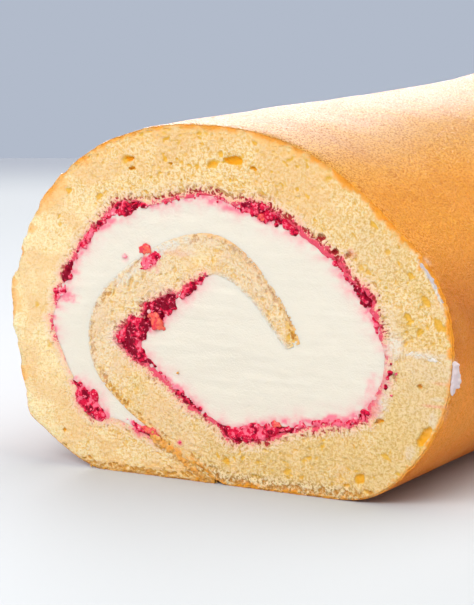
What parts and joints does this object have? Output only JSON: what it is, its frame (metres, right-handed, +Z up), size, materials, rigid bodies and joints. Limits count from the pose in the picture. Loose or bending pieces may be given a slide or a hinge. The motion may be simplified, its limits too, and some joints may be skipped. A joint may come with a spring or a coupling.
{
  "type": "swiss roll cake",
  "caption": "Uncut length of Swiss roll: golden sponge rolled round raspberry jam and whipped cream, with the spiral showing at both cut ends and a flattened base.",
  "frame": {"origin": "middle of the flat base that the roll lies on, halfway along its length", "axes": "+Y along the roll, -Y towards the cut end shown, +X to the right of that end, +Z up"},
  "size_m": [0.1134, 0.24, 0.08],
  "materials": {
    "sponge": "soft open crumb, pale yellow at the cuts, with a thin golden-brown baked skin",
    "jam": "wet, glossy raspberry jam with berry lumps",
    "cream": "satin whipped cream with faint knife marks"
  },
  "bodies": {
    "root": {"sponge": "sponge", "jam": "jam", "cream": "cream"}
  },
  "joints": []
}
